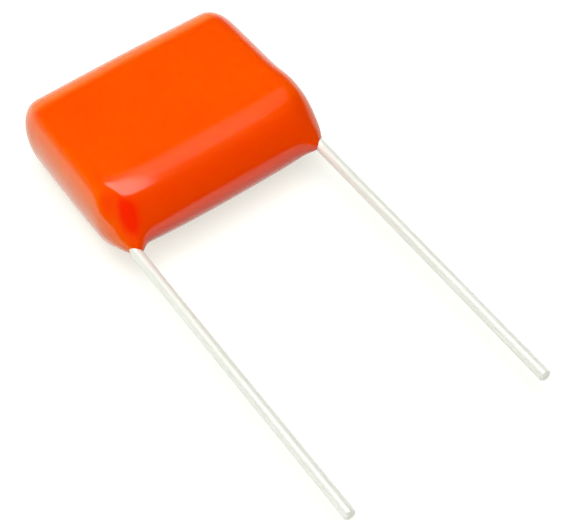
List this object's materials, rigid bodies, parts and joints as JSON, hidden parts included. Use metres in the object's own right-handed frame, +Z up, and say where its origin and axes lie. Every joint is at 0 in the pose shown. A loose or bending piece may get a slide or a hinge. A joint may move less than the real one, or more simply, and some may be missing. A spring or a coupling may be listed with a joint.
{
  "type": "polyester film capacitor",
  "caption": "Flat radial film capacitor dipped in glossy orange epoxy, with straight tinned wire leads out of one edge for soldering into a circuit board.",
  "frame": {"origin": "middle of the flat broad face that the body lies on, midway between the leads", "axes": "+X along the lead pitch, leads point to -Y, +Z up through the thickness"},
  "size_m": [0.0174, 0.0394, 0.0062],
  "materials": {
    "epoxy": "glossy dipped epoxy",
    "metallised_film": "pressed roll of metallised film",
    "sprayed_zinc": "rough sprayed metal",
    "tinned_wire": "drawn wire with a soft tin sheen"
  },
  "bodies": {
    "root": {"epoxy_coating": "epoxy", "film_winding": "metallised_film", "end_spray_left": "sprayed_zinc", "end_spray_right": "sprayed_zinc", "lead_left": "tinned_wire", "lead_right": "tinned_wire"}
  },
  "joints": []
}
